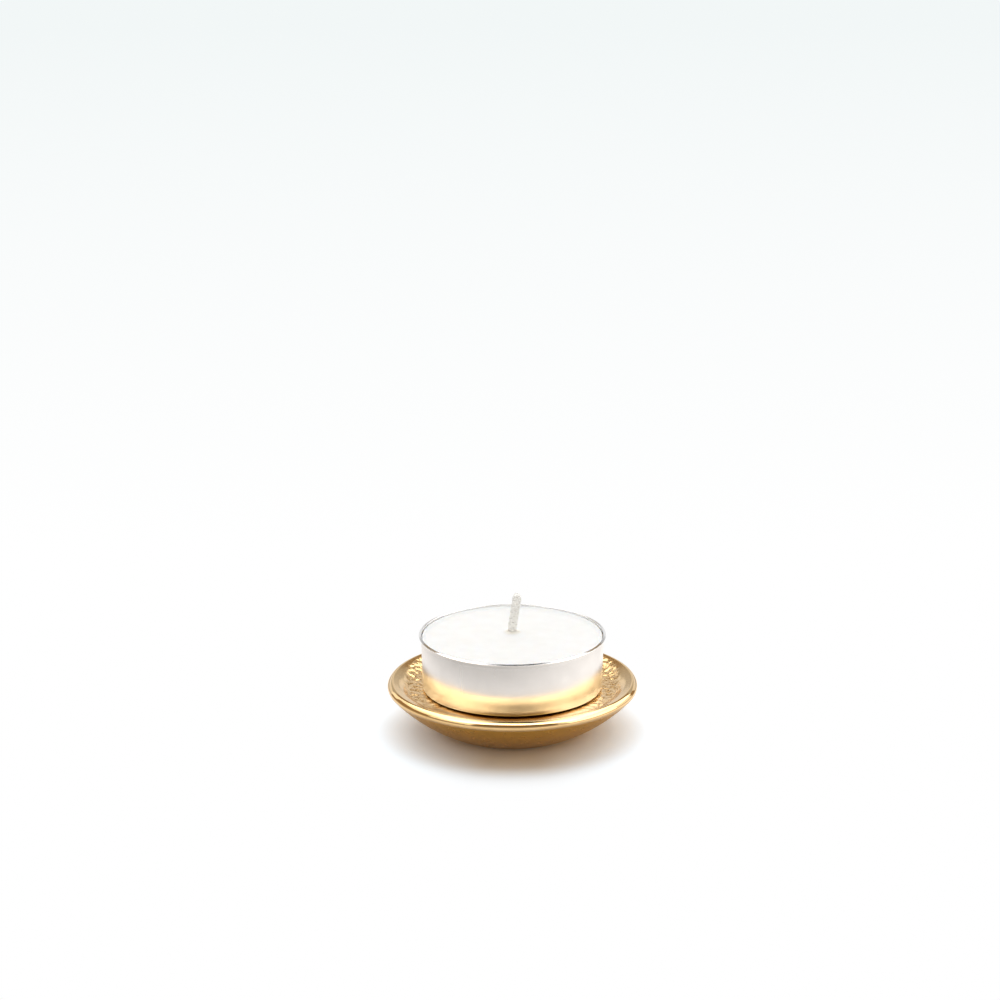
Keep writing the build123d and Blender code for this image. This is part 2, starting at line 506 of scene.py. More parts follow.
def plate_sections():
    """The plate's section as runs of points (r, z), from the middle of the base to the middle of the dish.

    Each run comes with its part of the plate and with the number of points round each of its rings.
    """
    underside, lip = underside_and_lip()
    side = dish_side(lip[-1])
    outer, inner = HALVING_RADII
    return [
        ("base", MIDDLE_RING, line((AXIS_GAP, 0), (BASE_RADIUS - BASE_EDGE, 0), 8)),
        ("underside", MIDDLE_RING, underside),
        ("lip", FINE_RING, lip),
        ("dish", FINE_RING, np.vstack([side, line(side[-1], (outer, SEAT), 14)])),
        ("dish", MIDDLE_RING, line((outer, SEAT), (inner, SEAT), 28)),
        ("dish", COARSE_RING, line((inner, SEAT), (AXIS_GAP, SEAT), 22)),
    ]


# Casting texture of the dish: size and height of its features, how deep it sits and its cut-off on top
LUMPS = (1.0 * MM, 0.16 * MM)
CELL_SIZE = 1.15 * MM
CELL_HEIGHT = 0.12 * MM
GRAIN = (0.5 * MM, 0.04 * MM)
TEXTURE_SINK = 0.08 * MM
TEXTURE_TOP = 0.03 * MM

# Where the texture ends: a radius, how much further out it is behind, and the width of the fade
TEXTURE_RADIUS = 21.2 * MM
TEXTURE_BEHIND = 1.6 * MM
BEHIND_SECTOR = np.radians((95.0, 118.0))
TEXTURE_FADE = 1.2 * MM

# The worn patch in front of the cup, and the painted shade round the cup's foot there: the radii and turns
# over which they come and go
WORN_SHARE = 0.97
WORN_RADII = (14.0 * MM, 17.4 * MM)
WORN_SECTOR = np.radians((32.0, 68.0))
PAINTED_SHADE_INNER = (17.0 * MM, 18.2 * MM)
PAINTED_SHADE_OUTER = (20.3 * MM, 21.0 * MM)
PAINTED_SHADE_SECTOR = np.radians((16.0, 48.0))

# Unevenness of lip and underside: size and height
RIPPLES = (2.6 * MM, 0.008 * MM)
SWELLS = (7.5 * MM, 0.02 * MM)

# How far each part of the plate is polished, which also picks the painted shade of the base and underside
POLISH_AND_PAINTED_SHADE = {"base": 0.0, "underside": 0.0, "lip": 1.0, "dish": 0.55}


def dish_relief(points, radius):
    """Height of the casting's texture at each point of the dish, and its share there. It is worn in front."""
    turn = turn_from_front(points)
    worn = smoothstep(*WORN_RADII, radius) * (1 - smoothstep(*WORN_SECTOR, turn))
    end = TEXTURE_RADIUS + TEXTURE_BEHIND * smoothstep(*BEHIND_SECTOR, turn)
    share = (1 - WORN_SHARE * worn) * (1 - smoothstep(end, end + TEXTURE_FADE, radius))
    lumps = unevenness(points, LUMPS, seed=2)
    cells = (np.minimum(cell_field(points, CELL_SIZE, seed=1), 1.0) ** 2 - 0.5) * CELL_HEIGHT
    grain = unevenness(points, GRAIN, seed=3)
    return share * np.minimum(lumps + cells + grain - TEXTURE_SINK, TEXTURE_TOP), share


def dish_painted_shade(points, radius):
    """Share of painted shade at each point of the dish: a ring round the cup's foot, in front."""
    ring = smoothstep(*PAINTED_SHADE_INNER, radius) * (1 - smoothstep(*PAINTED_SHADE_OUTER, radius))
    return ring * (1 - smoothstep(*PAINTED_SHADE_SECTOR, turn_from_front(points)))


def make_plate(material):
    """The cast plate: rough in the dish, with a slightly wavy lip and a soft unevenness below."""
    rings, polish_and_painted_shade, rough, painted_shade = [], [], [], []
    for part, segments, profile in plate_sections():
        points, normals = revolve(profile, segments)
        radius = np.linalg.norm(points[..., :2], axis=2)
        height, dish, shade_share = (np.zeros_like(radius) for _ in range(3))
        if part == "dish":
            height, dish = dish_relief(points, radius)
            # Painted shade round the cup's foot, in front
            shade_share = dish_painted_shade(points, radius)
        elif part != "base":
            height = unevenness(points, RIPPLES, seed=3) + unevenness(points, SWELLS, seed=4)
        rings += list(points + normals * height[..., None])
        polish_and_painted_shade += list(np.full_like(radius, POLISH_AND_PAINTED_SHADE[part]))
        rough += list(dish)
        painted_shade += list(shade_share)
    shares = {"polish_and_painted_shade": polish_and_painted_shade, "dish": rough, "painted_shade": painted_shade}
    plate = ring_mesh("plate_casting", rings, material, shares)
    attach(plate, "plate")
    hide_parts("candle_plate")


# Cup: its sheet, and its rim as a flange that slopes down to a rounded edge
CUP_RING = 512
SHEET = 0.1 * MM
RIM_WIDTH = 0.55 * MM
RIM_EDGE = 0.09 * MM
RIM_BEND = 0.12 * MM
RIM_SLOPE = math.radians(25)
UNDER_RIM = 0.12 * MM

# Its wall, the elliptical corner at the foot, the ring that it stands on and the raised panel inside that
WALL_DRAFT = 0.26 * MM
FOOT_REACH = 1.6 * MM
FOOT_RISE = 0.55 * MM
FOOT_RING = 3.4 * MM
PANEL_RISE = 0.5 * MM
PANEL_SHIFT = 0.08 * MM


def cup_profile():
    """Points (r, z) of the cup's section: underside, wall, flanged rim, inside of the wall and floor."""
    wall_top = CUP_RADIUS - RIM_WIDTH + SHEET
    wall_foot = wall_top - WALL_DRAFT
    slope = math.degrees(RIM_SLOPE)
    bend = (wall_top - SHEET + RIM_BEND, CUP_TOP - RIM_BEND)
    edge_reach = CUP_RADIUS - RIM_EDGE
    rim_fall = (edge_reach - bend[0]) * math.tan(RIM_SLOPE)
    edge = (edge_reach, bend[1] + (RIM_BEND - RIM_EDGE) / math.cos(RIM_SLOPE) - rim_fall)
    rim_edge = arc(edge, RIM_EDGE, -90 - slope, 90 - slope, 14)
    rim_top = arc(bend, RIM_BEND, 90 - slope, 180, 9)
    under_rim = rim_edge[0] + (-UNDER_RIM, UNDER_RIM * math.tan(RIM_SLOPE))
    wall_end = (wall_top, under_rim[1] - RIM_BEND)
    turn = np.radians(np.linspace(-90, -1, 14))[:, None]
    foot = np.hstack([
        wall_foot - FOOT_REACH * (1 - np.cos(turn)),
        SEAT + FOOT_RISE * (1 + np.sin(turn)),
    ])
    inner_foot = foot[::-1] + (-SHEET, SHEET)
    panel = wall_foot - FOOT_RING
    panel_edge = (panel, SEAT + PANEL_RISE)
    step_foot = (panel + PANEL_RISE, SEAT)
    inner_step_foot = (step_foot[0] + PANEL_SHIFT, step_foot[1] + SHEET)
    inner_panel_edge = (panel_edge[0] + PANEL_SHIFT, panel_edge[1] + SHEET)
    return np.vstack([
        line((AXIS_GAP, panel_edge[1]), panel_edge, 14),
        line(panel_edge, step_foot, 5),
        line(step_foot, foot[0], 6)[:-1],
        foot,
        line(foot[-1], wall_end, 64),
        line(wall_end, under_rim, 4),
        rim_edge,
        line(rim_edge[-1], rim_top[0], 4)[:-1],
        rim_top,
        line(rim_top[-1], inner_foot[0], 24)[:-1],
        inner_foot,
        line(inner_foot[-1], inner_step_foot, 5),
        line(inner_step_foot, inner_panel_edge, 5),
        line(inner_panel_edge, (AXIS_GAP, inner_panel_edge[1]), 12),
    ])


# Wall and rim's hold by radii and heights above the seat, and the bright bead by height above the base
WALL_RADII = (14.0 * MM, 17.8 * MM)
WALL_HEIGHTS = (0.1 * MM, 1.2 * MM)
HOLD_HEIGHTS = (CUP_TOP - SEAT - 1.6 * MM, CUP_TOP - SEAT - 0.5 * MM)
BEAD_HEIGHTS = (CUP_TOP - 1.1 * MM, CUP_TOP - 0.8 * MM)

# How far the wall is out of true: waves round it as count, phase and share, then size and height of features
OVALNESS = 0.03 * MM
OVAL_WAVES = [(2, 0.7, 0.6), (3, -1.1, 0.4)]
BUCKLES = (4.5 * MM, 0.018 * MM)
BUCKLE_STRETCH = 0.6
DRAW_LINES = (0.75 * MM, 0.0012 * MM)
DRAW_LENGTH = 14 * MM

# Dents in the cup's wall: turn from +X in degrees, height above the seat, radius and depth
DENTS = [
    (-86.0, 0.9 * MM, 0.45 * MM, 0.02 * MM),
    (-56.0, 6.2 * MM, 0.9 * MM, 0.015 * MM),
    (-128.0, 3.4 * MM, 2.4 * MM, 0.05 * MM),
    (-20.0, 3.0 * MM, 2.2 * MM, 0.05 * MM),
    (40.0, 6.5 * MM, 2.6 * MM, 0.06 * MM),
    (118.0, 4.0 * MM, 3.2 * MM, 0.06 * MM),
    (196.0, 7.0 * MM, 1.6 * MM, 0.04 * MM),
]


def make_cup(material):
    """The drawn cup: not quite round, with draw lines, soft buckles and a few small dents in its wall."""
    points, _ = revolve(cup_profile(), CUP_RING)
    radius = np.linalg.norm(points[..., :2], axis=2)
    turn = np.arctan2(points[..., 1], points[..., 0])
    above = points[..., 2] - SEAT
    wall = smoothstep(*WALL_RADII, radius) * smoothstep(*WALL_HEIGHTS, above)
    free = wall * (1 - smoothstep(*HOLD_HEIGHTS, above))
    around = np.stack([np.cos(turn), np.sin(turn)], axis=2) * CUP_RADIUS
    lines = unevenness(np.dstack([around, above / DRAW_LENGTH * CUP_RADIUS]), DRAW_LINES, seed=5)
    buckles = unevenness(np.dstack([around, above * BUCKLE_STRETCH]), BUCKLES, seed=6)
    oval = sum(share * np.cos(count * turn + phase) for count, phase, share in OVAL_WAVES)
    push = wall * oval * OVALNESS + free * (buckles + lines)
    for degrees, height, size, depth in DENTS:
        away = np.angle(np.exp(1j * (turn - math.radians(degrees)))) * CUP_RADIUS
        share = np.exp(-((away**2 + (above - height) ** 2) / size**2))
        push = push - free * depth * share
    points[..., 0] += np.cos(turn) * push
    points[..., 1] += np.sin(turn) * push
    bead = smoothstep(*BEAD_HEIGHTS, points[..., 2])
    cup = ring_mesh("tealight_shell", points, material, {"bead": bead})
    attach(cup, "cup")
    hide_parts("tealight_cup")


# Wax: its draft, its edge and the collar at the wick
WAX_RING = 256
WAX_DRAFT = 0.2 * MM
WAX_EDGE = 0.15 * MM
WAX_SPREAD = 0.14 * MM
COLLAR_HEIGHT = 0.4 * MM
COLLAR_REACH = 0.55 * MM
WAX_TOP = COLLAR_TOP - COLLAR_HEIGHT
WAX_WIDEST = WAX_RADIUS + WAX_SPREAD
WAX_RIM = WAX_WIDEST - WAX_EDGE

# Its top: the number of rings and how they crowd towards the wick, the hollow, the meniscus and a slight sway
TOP_RINGS = 64
TOP_CROWDING = 1.4
WAX_HOLLOW = 0.12 * MM
MENISCUS = 0.42 * MM
MENISCUS_REACH = 0.45 * MM
MENISCUS_DEPTH = 2.0 * MM
BROAD_SWAY = (6.0 * MM, 0.03 * MM)
FINE_SWAY = (2.2 * MM, 0.01 * MM)
SWAY_FADE = 2.5 * MM

# The room in it: the bore for the wick, and radii and heights for the sustainer's disc and neck
BORE_RADIUS = WICK_RADIUS + 0.1 * MM
COLLAR_BORE = WICK_RADIUS - 0.03 * MM
COLLAR_DEPTH = 0.3 * MM
DISC_RADIUS = 7.6 * MM
DISC_HEIGHT = 0.35 * MM
NECK_FOOT_RADIUS = 1.85 * MM
NECK_TOP_RADIUS = 1.25 * MM
NECK_HEIGHT = 3.35 * MM


def wax_runs():
    """The wax's section as runs of points (r, z), each with its part and the middle of each ring along Y."""
    foot = WAX_RADIUS - WAX_DRAFT * (WAX_TOP - WAX_FOOT) / (CUP_TOP - SEAT)
    disc_top = WAX_FOOT + DISC_HEIGHT
    neck_top = WAX_FOOT + NECK_HEIGHT
    out = np.linspace(0, 1, TOP_RINGS) ** TOP_CROWDING
    back = np.linspace(0, 1, 12)[1:]
    top = np.c_[COLLAR_BORE + (WAX_RIM - COLLAR_BORE) * out, np.full(len(out), WAX_TOP)]
    side = np.vstack([
        arc((WAX_RIM, WAX_TOP - WAX_EDGE), WAX_EDGE, 90, 0, 10)[1:],
        line((WAX_WIDEST, WAX_TOP - WAX_EDGE), (foot, WAX_FOOT), 14),
    ])
    under = np.c_[foot + (DISC_RADIUS - foot) * back, np.full(len(back), WAX_FOOT)]
    room = np.vstack([
        line((DISC_RADIUS, WAX_FOOT), (DISC_RADIUS, disc_top), 2),
        line((DISC_RADIUS, disc_top), (NECK_FOOT_RADIUS, disc_top), 4),
        line((NECK_FOOT_RADIUS, disc_top), (NECK_TOP_RADIUS, neck_top), 4),
        line((NECK_TOP_RADIUS, neck_top), (BORE_RADIUS, neck_top), 1),
        line((BORE_RADIUS, neck_top), (BORE_RADIUS, WAX_TOP - COLLAR_DEPTH), 5),
    ])
    return [
        ("top", top, WICK_OFFSET * (1 - out)),
        ("side", side, np.zeros(len(side))),
        ("under", under, WICK_OFFSET * back),
        ("room", room, np.full(len(room), WICK_OFFSET)),
    ]


def make_wax(material):
    """The wax: slightly hollow on top, with a small collar at the wick and room inside for it."""
    runs = wax_runs()
    profile = np.vstack([points for _, points, _ in runs])
    middles = np.concatenate([middle for _, _, middle in runs])
    parts = np.concatenate([np.full(len(points), part) for part, points, _ in runs])
    points, _ = revolve(profile[::-1], WAX_RING, middles[::-1])
    part = parts[::-1, None]
    radius = np.linalg.norm(points[..., :2], axis=2)
    from_wick = np.hypot(points[..., 0], points[..., 1] - WICK_OFFSET)
    collar = COLLAR_HEIGHT * np.exp(-np.maximum(from_wick - BORE_RADIUS, 0) / COLLAR_REACH)
    meniscus = MENISCUS * np.exp(-np.maximum(WAX_RIM - radius, 0) / MENISCUS_REACH)
    hollow = WAX_HOLLOW * (1 - (radius / WAX_RIM) ** 2)
    sway = unevenness(points, BROAD_SWAY, seed=8) + unevenness(points, FINE_SWAY, seed=9)
    fade = 1 - smoothstep(WAX_RIM - SWAY_FADE, WAX_RIM, radius)
    points[..., 2] += np.where(part == "top", collar + meniscus - hollow + sway * fade, 0.0)
    climb = MENISCUS * smoothstep(WAX_TOP - MENISCUS_DEPTH, WAX_TOP, points[..., 2])
    points[..., 2] += np.where(part == "side", climb, 0.0)
    wax = ring_mesh("wax_body", points, material, loop=True)
    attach(wax, "candle")
    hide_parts("wax_fill")


# Wick: its lean to +X above the collar, the radius of the bend, and the number of points along it
WICK_LEAN = math.radians(9.0)
WICK_BEND = 8.0 * MM
WICK_POINTS = 150
WICK_SEED = 12
DEPTH = np.array([0.0, 1.0, 0.0])

# The braid: strands each way round, the length of one turn, how the strands lie and the core inside them
STRANDS_EACH_WAY = 4
BRAID_TURN = 5.2 * MM
STRAND_RADIUS = 0.36 * MM
STRAND_LIFT = 0.045 * MM
STRAND_SIDES = 10
CORE_RADIUS = 0.55 * MM
CORE_CUT = 3
CORE_SIDES = 12

# The swell above the wax, and the loose end: its length, how far strands stray and the points that they lose
WICK_SWELL = 0.15 * MM
SWELL_HEIGHTS = (COLLAR_TOP - 0.2 * MM, COLLAR_TOP + 0.8 * MM)
LOOSE_LENGTH = 1.6 * MM
LOOSE_REACH = (-0.02 * MM, 0.06 * MM)
STRAND_CUT = (1, 5)

# Loose fibres: where they start, by points from the tip and share of the radius, and how they grow and curl
FIBRES = 26
FIBRE_ROOTS = (14, 2)
FIBRE_REACH = (0.3, 0.95)
FIBRE_INSET = 0.1 * MM
FIBRE_CURL = 0.12 * MM
FIBRE_LENGTH = (0.25 * MM, 0.6 * MM)
FIBRE_AHEAD, FIBRE_OUT = 0.75, 0.5
FIBRE_RADIUS = 0.018 * MM
FIBRE_POINTS = 7
FIBRE_SIDES = 5

# Tubes: steps in each rounded end, and a direction that no tube follows
CAP_STEPS = 4
TUBE_ASIDE = (0.31, 0.95, 0.05)


def wick_path():
    """The wick's middle from foot to tip: the length so far, the point and the lean at each step."""
    bend_length = WICK_BEND * WICK_LEAN
    bend_rise = WICK_BEND * math.sin(WICK_LEAN)
    bend_run = WICK_BEND * (1 - math.cos(WICK_LEAN))
    end_cut = WICK_RADIUS * math.sin(WICK_LEAN)
    straight = (WICK_TOP - end_cut - COLLAR_TOP - bend_rise) / math.cos(WICK_LEAN)
    upright = COLLAR_TOP - WICK_FOOT
    lengths = np.linspace(0, upright + bend_length + straight, WICK_POINTS)
    middle, lean = [], []
    for along in lengths:
        turn = min(max(along - upright, 0.0) / WICK_BEND, WICK_LEAN)
        rest = max(along - upright - bend_length, 0.0)
        if along <= upright:
            x, z = 0.0, WICK_FOOT + along
        elif along <= upright + bend_length:
            x, z = WICK_BEND * (1 - math.cos(turn)), COLLAR_TOP + WICK_BEND * math.sin(turn)
        else:
            x = bend_run + rest * math.sin(WICK_LEAN)
            z = COLLAR_TOP + bend_rise + rest * math.cos(WICK_LEAN)
        middle.append((x, WICK_OFFSET, z))
        lean.append(turn)
    return lengths, np.array(middle), np.array(lean)


def tube(path, radius, sides):
    """Vertices and faces of a closed tube along points, with a rounded end at each side."""
    path = np.asarray(path)
    ahead = np.gradient(path, axis=0)
    ahead /= np.linalg.norm(ahead, axis=1, keepdims=True)
    side = np.cross(ahead, TUBE_ASIDE)
    side /= np.linalg.norm(side, axis=1, keepdims=True)
    up = np.cross(ahead, side)
    last = len(path) - 1
    caps = np.linspace(0, np.pi / 2, CAP_STEPS, endpoint=False)[1:]
    rounds = [(radius * math.cos(cap), radius * math.sin(cap)) for cap in caps]
    stations = [(0, path[0] - ahead[0] * reach, width) for reach, width in rounds]
    stations += [(number, place, radius) for number, place in enumerate(path)]
    stations += [(last, path[last] + ahead[last] * reach, width) for reach, width in rounds[::-1]]
    turns = np.linspace(0, 2 * np.pi, sides, endpoint=False)
    cosines, sines = np.cos(turns)[:, None], np.sin(turns)[:, None]
    rings = []
    for number, place, width in stations:
        rings.append(place + width * (cosines * side[number] + sines * up[number]))
    index = np.arange(len(rings) * sides).reshape(len(rings), sides)
    faces = []
    for low, high in zip(index[:-1], index[1:]):
        faces += stitch(low, high)
    faces += [index[0][::-1].tolist(), index[-1].tolist()]
    return np.vstack(rings), faces


def strand_tubes(along, middle, across, rng):
    """Tubes of the braid's strands, which cross over and under each other and come loose at the tip."""
    loosen = smoothstep(along[-1] - LOOSE_LENGTH, along[-1], along)
    swell = WICK_SWELL * smoothstep(*SWELL_HEIGHTS, middle[:, 2])
    twist = 2 * np.pi * along / BRAID_TURN
    wave = np.cos(STRANDS_EACH_WAY * twist)
    tubes = []
    for way in (1, -1):
        for number in range(STRANDS_EACH_WAY):
            turn = 2 * np.pi * number / STRANDS_EACH_WAY + way * twist
            reach = WICK_RADIUS - STRAND_RADIUS - STRAND_LIFT + way * STRAND_LIFT * wave
            reach = reach + loosen * rng.uniform(*LOOSE_REACH) + swell
            out = np.cos(turn)[:, None] * across + np.sin(turn)[:, None] * DEPTH
            path = middle + reach[:, None] * out
            cut = int(rng.integers(*STRAND_CUT))
            tubes.append(tube(path[:-cut], STRAND_RADIUS, STRAND_SIDES))
    return tubes


def fibre_tubes(middle, lean, across, rng):
    """Tubes of the loose fibres near the wick's tip."""
    count = len(middle)
    grow = np.linspace(0, 1, FIBRE_POINTS)[:, None]
    tubes = []
    for _ in range(FIBRES):
        angle = rng.uniform(0, 2 * np.pi)
        root = int(rng.integers(count - FIBRE_ROOTS[0], count - FIBRE_ROOTS[1]))
        reach = rng.uniform(*FIBRE_REACH) * (WICK_RADIUS - FIBRE_INSET)
        curl = rng.normal(0, FIBRE_CURL, 3)
        length = rng.uniform(*FIBRE_LENGTH)
        out = math.cos(angle) * across[root] + math.sin(angle) * DEPTH
        ahead = np.array([math.sin(lean[root]), 0, math.cos(lean[root])])
        rise = grow * length * (FIBRE_AHEAD * ahead + FIBRE_OUT * out) + grow**2 * curl
        tubes.append(tube(middle[root] + reach * out + rise, FIBRE_RADIUS, FIBRE_SIDES))
    return tubes


def make_wick(material):
    """The braided wick: strands round a core, with loose fibres at the tip."""
    along, middle, lean = wick_path()
    across = np.c_[np.cos(lean), np.zeros(len(lean)), -np.sin(lean)]
    rng = np.random.default_rng(WICK_SEED)
    tubes = [tube(middle[:-CORE_CUT], CORE_RADIUS, CORE_SIDES)]
    tubes += strand_tubes(along, middle, across, rng)
    tubes += fibre_tubes(middle, lean, across, rng)
    vertices, faces, count = [], [], 0
    for points, polygons in tubes:
        vertices.append(points)
        faces += [[number + count for number in polygon] for polygon in polygons]
        count += len(points)
    wick = new_piece("braided_wick", np.vstack(vertices).tolist(), faces, material)
    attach(wick, "candle")
    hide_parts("wick")


# Studio: the floor's half width, the softbox over it and the even fill
FLOOR_REACH = 4.0
SOFTBOX_SIZE = (0.80, 0.78)
SOFTBOX_DISTANCE = 0.62
SOFTBOX_TILT = math.radians(-12)
SOFTBOX_POWER = 3.15
FILL = 0.5

# Colours of the cards, their unlit colour and their roughness
WHITE = (1, 1, 1, 1)
BROWN = (1, 0.66, 0.30, 1)
CARD_UNLIT = (0.02, 0.02, 0.02, 1)
CARD_ROUGHNESS = 0.9

# Overhead card that only the metal reflects: height, ends along X and Y, and its tones
OVERHEAD_HEIGHT = 0.64
OVERHEAD_ENDS = ((-0.95, 0.95), (-0.46, 0.60))
OVERHEAD_FRONT = 4.4
OVERHEAD_SIDES = 3.2
OVERHEAD_MIDDLE = 0.14
OVERHEAD_FADED = 0.4

# Middle of its dim part along X, and the distances over which it turns to the tones round it and fades
MIDDLE_X = 0.035
SIDES_FROM = (0.09, 0.28)
FRONT_FROM = (0.18, 0.23)
REAR_FROM = (0.32, 0.40)
FADE_FROM = (0.60, 1.00)

# Upright cards that only the metal reflects: both ends on the floor, lower and upper edge, tone and colour
CARDS = {
    "flag": ((-0.85, -1.1), (0.95, -1.1), 0.24, 1.42, 0.22, BROWN),
    "low_front": ((-0.85, -1.1), (0.95, -1.1), 0.0, 0.24, 0.34, WHITE),
    "left_flag": ((-1.1, -1.2), (-1.1, 1.3), 0.0, 0.27, 0.35, BROWN),
    "left_low": ((-1.11, -0.15), (-1.11, 0.95), 0.27, 0.58, 0.35, BROWN),
    "left_card": ((-1.12, -1.4), (-1.12, 1.9), 0.27, 1.9, 1.4, WHITE),
    "right_card": ((1.1, -0.9), (1.1, 0.35), 0.04, 1.6, 2.8, WHITE),
    "right_back": ((1.1, 0.35), (1.1, 1.3), 0.45, 1.7, 2.8, WHITE),
    "right_low": ((1.1, 0.35), (1.1, 1.1), 0.0, 0.45, 1.3, WHITE),
    "right_flag": ((1.1, 1.1), (1.1, 1.6), 0.0, 0.45, 0.35, BROWN),
    "back_ceiling": ((-0.5, 0.62), (0.5, 0.62), 0.34, 1.2, 0.3, BROWN),
    "backdrop": ((-2.0, 1.6), (2.0, 1.6), 0.12, 1.1, 0.56, WHITE),
    "backdrop_middle": ((-0.18, 1.57), (0.22, 1.57), 0.2, 0.95, 0.9, WHITE),
    "backdrop_left": ((-1.3, 1.56), (-0.28, 1.56), 0.2, 0.48, 1.0, WHITE),
    "backdrop_right": ((0.28, 1.56), (1.3, 1.56), 0.2, 0.48, 1.0, WHITE),
    "rear_strip": ((-2.0, 1.58), (2.0, 1.58), 0.0, 0.2, 0.9, WHITE),
}

# Matt floor, and the distances from its middle over which it turns even, to the camera and in the metal
MATT_FLOOR = (0.93, 0.93, 0.93, 1)
EVEN_SEEN = (0.027, 0.040)
EVEN_MIRRORED = (0.032, 0.060)

# Glow that only the camera sees in the shadow: its reach, and its strength and colour near and far
GLOW_REACH = (0.020, 0.028)
GLOW_STRENGTHS = (0.03, 0.145)
GLOW_NEAR = (1, 0.6, 0.25, 1)
GLOW_FAR = (0.56, 0.80, 1, 1)

# The same at the plate's sides: its strength, reach and colour, and the share of X in the distance
SIDE_STRENGTH = 0.24
SIDE_REACH = (0.014, 0.021)
SIDE_SHARE = (0.25, 0.95)
SIDE_COLOUR = (0.62, 0.82, 1, 1)

# Colour of the even floor far behind the plate
BEHIND_COLOUR = (0.89, 0.93, 0.93, 1)
BEHIND_FROM = (0.12, 0.75)

# Floor in the metal: colour, tone and its change along X and Y per metre, with its limits
MIRRORED_COLOUR = (1, 0.94, 0.885, 1)
MIRRORED_TONE = 1.07
MIRRORED_SLOPE = (3.9, 5.3, 0.0)
MIRRORED_LIMITS = (0.68, 1.25)

# What is added to that tone close to the plate, and the tone further out, each with its reach
CLOSE_TONE = 0.62
CLOSE_REACH = (0.045, 0.063)
OUTER_TONE = 0.45
OUTER_REACH = (0.075, 0.14)


def sheet(name, corners, material):
    """A flat stage piece through four corners."""
    piece = new_piece(name, corners, [(0, 1, 2, 3)], material, flat=True)
    return piece


def shadow_glow(tree, place, distance, camera_ray):
    """Shader of the glows in the shadow, which lighten and tint it for the camera alone."""
    away = spread(tree, distance, 0, 1, *GLOW_REACH)
    strength = times(tree, spread(tree, away, *GLOW_STRENGTHS, 0, 1), camera_ray)
    colour = blend_colours(tree, away, GLOW_NEAR, GLOW_FAR)
    aside = maths(tree, "DIVIDE", maths(tree, "ABSOLUTE", place.outputs["X"]), distance)
    side_reach = spread(tree, distance, 0, SIDE_STRENGTH, *SIDE_REACH)
    side_strength = times(tree, spread(tree, aside, 0, 1, *SIDE_SHARE), side_reach)
    side_strength = times(tree, side_strength, camera_ray)
    glow = add(tree, "ShaderNodeEmission", {"Color": colour, "Strength": strength})
    side_glow = add(tree, "ShaderNodeEmission", {"Color": SIDE_COLOUR, "Strength": side_strength})
    return add(tree, "ShaderNodeAddShader", {0: glow.outputs[0], 1: side_glow.outputs[0]})


def mirrored_tone(tree, point, distance):
    """Tone of the even floor as the metal shows it."""
    change = add(tree, "ShaderNodeVectorMath", {0: point, 1: MIRRORED_SLOPE}, operation="DOT_PRODUCT")
    tone = maths(tree, "ADD", change.outputs["Value"], MIRRORED_TONE)
    tone = spread(tree, tone, *MIRRORED_LIMITS, *MIRRORED_LIMITS)
    tone = maths(tree, "ADD", tone, spread(tree, distance, CLOSE_TONE, 0, *CLOSE_REACH))
    return blend_values(tree, spread(tree, distance, 0, 1, *OUTER_REACH), tone, OUTER_TONE)


def floor_material():
    """Matt white round the object, where it takes the shadow, and an even pale floor further away."""
    material = bpy.data.materials.new("studio_floor")
    material.use_nodes = True
    tree = material.node_tree
    tree.nodes.clear()
    point = add(tree, "ShaderNodeTexCoord").outputs["Object"]
    place = add(tree, "ShaderNodeSeparateXYZ", {0: point})
    distance = add(tree, "ShaderNodeVectorMath", {0: point}, operation="LENGTH").outputs["Value"]
    path = add(tree, "ShaderNodeLightPath")
    camera_ray, glossy_ray = path.outputs["Is Camera Ray"], path.outputs["Is Glossy Ray"]
    even_seen = times(tree, spread(tree, distance, 0, 1, *EVEN_SEEN), camera_ray)
    even_mirrored = times(tree, spread(tree, distance, 0, 1, *EVEN_MIRRORED), glossy_ray)
    even_share = maths(tree, "ADD", even_seen, even_mirrored)
    matt = add(tree, "ShaderNodeBsdfDiffuse", {"Color": MATT_FLOOR})
    glow = shadow_glow(tree, place, distance, camera_ray)
    near = add(tree, "ShaderNodeAddShader", {0: matt.outputs[0], 1: glow.outputs[0]})
    behind = spread(tree, place.outputs["Y"], 0, 1, *BEHIND_FROM)
    colour = blend_colours(tree, behind, WHITE, BEHIND_COLOUR)
    colour = blend_colours(tree, glossy_ray, colour, MIRRORED_COLOUR)
    strength = blend_values(tree, camera_ray, mirrored_tone(tree, point, distance), 1.0)
    even = add(tree, "ShaderNodeEmission", {"Color": colour, "Strength": strength})
    mixed = add(tree, "ShaderNodeMixShader", {0: even_share, 1: near.outputs[0], 2: even.outputs[0]})
    output = tree.nodes.new("ShaderNodeOutputMaterial")
    tree.links.new(mixed.outputs[0], output.inputs["Surface"])
    return material


def card_material(name, colour):
    """A card that glows in one colour: its material, its node tree and its shader."""
    material, tree, shader = new_material(name)
    shader.inputs["Base Color"].default_value = CARD_UNLIT
    shader.inputs["Roughness"].default_value = CARD_ROUGHNESS
    shader.inputs["Emission Color"].default_value = colour
    return material, tree, shader


def even_card(name, start, stop, low, high, tone, colour):
    """An upright card of one even tone."""
    material, _, shader = card_material(name, colour)
    shader.inputs["Emission Strength"].default_value = tone
    return sheet(name, [(*start, low), (*stop, low), (*stop, high), (*start, high)], material)


